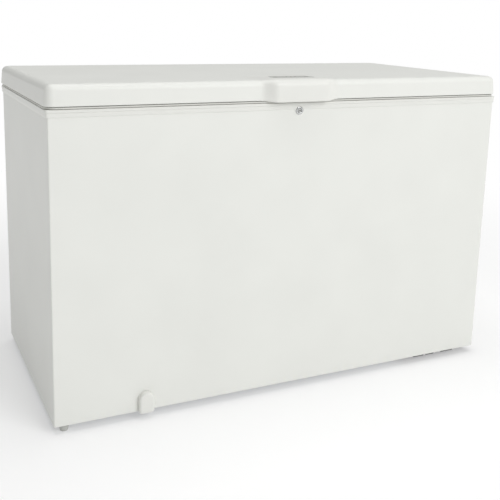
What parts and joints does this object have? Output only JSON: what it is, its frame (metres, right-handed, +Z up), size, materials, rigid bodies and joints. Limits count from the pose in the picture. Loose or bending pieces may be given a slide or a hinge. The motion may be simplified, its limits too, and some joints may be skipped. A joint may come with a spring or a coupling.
{
  "type": "chest freezer",
  "caption": "Wide white chest freezer: foamed steel cabinet with drain, lock and compressor bay, and a hinged foamed lid with grip and controls.",
  "frame": {"origin": "middle of the footprint, on the floor under the feet", "axes": "+X to the freezer's own right as seen from the front, -Y to the front where the handle is, +Z up"},
  "size_m": [1.405, 0.704, 0.9183],
  "materials": {
    "white_painted_steel": "satin white powder paint",
    "grey_painted_steel": "satin grey paint",
    "galvanised_steel": "dull zinc",
    "polyurethane_foam": null,
    "stucco_aluminium": "stucco embossed sheet",
    "white_plastic": "moulded white plastic",
    "copper_tube": "drawn copper tube",
    "black_enamel": "black enamel paint",
    "black_rubber": "moulded rubber",
    "black_plastic": "moulded black plastic",
    "grey_plastic": "moulded grey plastic",
    "bright_metal": "bright plated",
    "bracket_steel": "zinc plated steel",
    "white_pvc_seal": "soft white extruded seal",
    "control_grey": "satin grey plastic",
    "button_grey": "satin grey plastic",
    "green_lens": "clear green plastic",
    "yellow_lens": "clear yellow plastic",
    "red_lens": "clear red plastic",
    "coated_wire": null
  },
  "bodies": {
    "cabinet": {"cabinet_wrapper": "white_painted_steel", "rear_panel": "grey_painted_steel", "base_panel": "galvanised_steel", "cabinet_foam": "polyurethane_foam", "inner_liner": "stucco_aluminium", "rim_collar": "white_plastic", "evaporator_coil": "copper_tube", "condenser_coil": "black_enamel", "suction_line": "copper_tube", "discharge_line": "copper_tube", "filter_drier": "copper_tube", "compartment_panel": "galvanised_steel", "compressor_tray": "black_enamel", "compressor": "black_enamel", "compressor_bracket": "black_enamel", "compressor_mount_1": "black_rubber", "compressor_mount_2": "black_rubber", "compressor_mount_3": "black_rubber", "compressor_mount_4": "black_rubber", "compressor_terminal_cover": "black_plastic", "side_grille": "white_plastic", "cord_gland": "black_plastic", "foot_front_left": "grey_plastic", "foot_front_right": "grey_plastic", "foot_rear_left": "grey_plastic", "foot_rear_right": "grey_plastic", "rear_spacer_left": "black_plastic", "rear_spacer_right": "black_plastic", "drain_tube": "grey_plastic", "lock_escutcheon": "bright_metal", "hinge_bracket_left": "bracket_steel", "hinge_bracket_right": "bracket_steel", "hinge_pin_left": "bracket_steel", "hinge_pin_right": "bracket_steel", "hinge_spring_left": "galvanised_steel", "hinge_spring_right": "galvanised_steel", "hinge_cover_left": "grey_plastic", "hinge_cover_right": "grey_plastic"},
    "lid": {"lid_shell": "white_painted_steel", "lid_foam": "polyurethane_foam", "lid_inner_panel": "white_plastic", "lid_gasket": "white_pvc_seal", "handle": "white_plastic", "control_strip": "control_grey", "lamp_green": "green_lens", "lamp_yellow": "yellow_lens", "lamp_red": "red_lens", "lock_striker": "galvanised_steel", "hinge_leaf_left": "bracket_steel", "hinge_leaf_right": "bracket_steel"},
    "lock": {"lock_cylinder": "black_plastic", "lock_cam": "bright_metal"},
    "drain_plug": {"drain_plug": "white_plastic"},
    "drain_cover": {"drain_cover": "white_plastic"},
    "temperature_button": {"temperature_button": "button_grey"},
    "fast_freeze_button": {"fast_freeze_button": "button_grey"},
    "basket_left": {"basket_left": "coated_wire"},
    "basket_right": {"basket_right": "coated_wire"}
  },
  "joints": [
    {"name": "lid_hinge", "type": "hinge", "parent": "cabinet", "child": "lid", "pos_m": [0, 0.3415, 0.848], "axis": [-1, 0, 0], "range_deg": [0, 85]},
    {"name": "lock_turn", "type": "hinge", "parent": "cabinet", "child": "lock", "pos_m": [0, -0.33, 0.83], "axis": [0, 1, 0], "range_deg": [0, 90]},
    {"name": "drain_plug_pull", "type": "slide", "parent": "cabinet", "child": "drain_plug", "axis": [0, 0, 1], "range_m": [0, 0.06]},
    {"name": "drain_cover_pull", "type": "slide", "parent": "cabinet", "child": "drain_cover", "axis": [0, -1, 0], "range_m": [0, 0.03]},
    {"name": "temperature_button_press", "type": "slide", "parent": "lid", "child": "temperature_button", "axis": [0, 0, -1], "range_m": [0, 0.0008], "stiffness_N_per_m": 600},
    {"name": "fast_freeze_button_press", "type": "slide", "parent": "lid", "child": "fast_freeze_button", "axis": [0, 0, -1], "range_m": [0, 0.0008], "stiffness_N_per_m": 600},
    {"name": "basket_left_slide", "type": "slide", "parent": "cabinet", "child": "basket_left", "axis": [1, 0, 0], "range_m": [0, 0.33]},
    {"name": "basket_right_slide", "type": "slide", "parent": "cabinet", "child": "basket_right", "axis": [-1, 0, 0], "range_m": [0, 0.33]}
  ]
}
